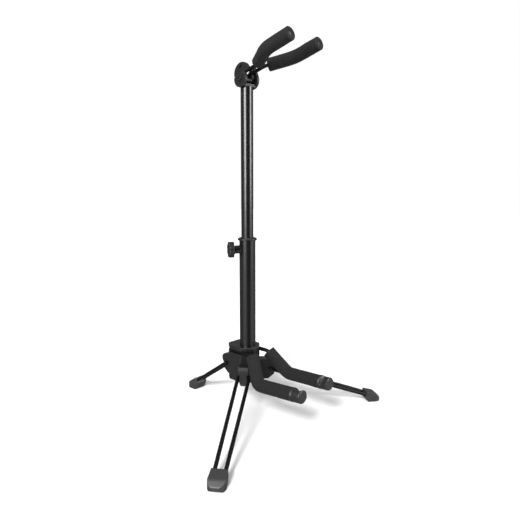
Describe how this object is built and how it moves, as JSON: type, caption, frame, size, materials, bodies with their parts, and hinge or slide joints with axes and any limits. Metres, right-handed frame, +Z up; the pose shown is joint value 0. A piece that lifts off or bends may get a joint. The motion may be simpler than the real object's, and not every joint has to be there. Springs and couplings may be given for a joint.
{
  "type": "instrument stand",
  "caption": "Folding instrument stand: telescoping column on a hub with hinged wire legs, padded cradle arms and a tilting padded neck yoke.",
  "frame": {"origin": "on the floor under the column axis, within 3 mm of the centre of the whole object's plan box", "axes": "+Z up along the column, -Y the instrument side that the cradle and the yoke reach towards, X across the two front legs"},
  "size_m": [0.379, 0.2891, 0.5673],
  "materials": {
    "black_metal": "semi-gloss black powder coat",
    "black_plastic": "moulded, fine texture",
    "black_foam": "closed-cell foam sleeve, matte with fine pores",
    "black_rubber": "moulded rubber, satin",
    "dark_fasteners": "blackened steel"
  },
  "bodies": {
    "base": {"hub_body": "black_plastic", "hub_cap": "black_plastic", "hub_cap_screws": "dark_fasteners", "lower_tube": "black_metal", "tube_base_plug": "black_plastic", "base_washer": "dark_fasteners", "base_bolt": "dark_fasteners", "collar_bush": "black_plastic", "clamp_boss": "black_metal", "cradle_wire": "black_metal", "cradle_pad_left": "black_foam", "cradle_pad_right": "black_foam", "cradle_end_left": "black_rubber", "cradle_end_right": "black_rubber"},
    "guide": {"guide_bush": "black_plastic"},
    "column": {"upper_tube": "black_metal", "yoke_clevis": "black_plastic", "clevis_pin": "dark_fasteners", "pivot_bolt": "dark_fasteners", "pivot_nut": "dark_fasteners"},
    "yoke": {"yoke_wire": "black_metal", "yoke_pad_left": "black_foam", "yoke_pad_right": "black_foam", "yoke_wire_cap_left": "black_rubber", "yoke_wire_cap_right": "black_rubber", "head_base": "black_plastic", "head_cap": "black_plastic", "head_screw": "dark_fasteners", "yoke_bridge": "black_plastic"},
    "clamp_pad": {"pressure_pad": "black_plastic"},
    "clamp_knob": {"clamp_screw": "dark_fasteners", "clamp_knob": "black_plastic"},
    "leg_front_left_swing": {"leg_front_left": "black_metal", "foot_front_left": "black_rubber"},
    "leg_front_right_swing": {"leg_front_right": "black_metal", "foot_front_right": "black_rubber"},
    "leg_rear_swing": {"leg_rear": "black_metal", "foot_rear": "black_rubber"}
  },
  "joints": [
    {"name": "column_slide", "type": "slide", "parent": "base", "child": "guide", "axis": [0, 0, 1], "range_m": [-0.125, 0.028]},
    {"name": "column_swivel", "type": "hinge", "parent": "guide", "child": "column", "pos_m": [0, 0, 0.35], "axis": [0, 0, 1], "continuous": true},
    {"name": "yoke_tilt", "type": "hinge", "parent": "column", "child": "yoke", "pos_m": [0, 0, 0.5214], "axis": [1, 0, 0], "range_deg": [-40, 60]},
    {"name": "clamp_travel", "type": "slide", "parent": "base", "child": "clamp_pad", "axis": [-0.866, 0.5, 0], "range_m": [0, 0.0008]},
    {"name": "clamp_turn", "type": "hinge", "parent": "clamp_pad", "child": "clamp_knob", "pos_m": [-0.02165, 0.0125, 0.266], "axis": [-0.866, 0.5, 0], "range_deg": [0, 270]},
    {"name": "leg_front_left_fold", "type": "hinge", "parent": "base", "child": "leg_front_left_swing", "pos_m": [-0.02931, -0.0209, 0.07], "axis": [0.5807, -0.8141, 0], "range_deg": [0, 70.8]},
    {"name": "leg_front_right_fold", "type": "hinge", "parent": "base", "child": "leg_front_right_swing", "pos_m": [0.02931, -0.0209, 0.07], "axis": [0.5807, 0.8141, 0], "range_deg": [0, 70.8]},
    {"name": "leg_rear_fold", "type": "hinge", "parent": "base", "child": "leg_rear_swing", "pos_m": [0, 0.045, 0.07], "axis": [-1, 0, 0], "range_deg": [0, 56]}
  ],
  "couplings": [
    {"joint": "clamp_travel", "follows": "clamp_turn", "m_per_rad": 0.00015915}
  ]
}
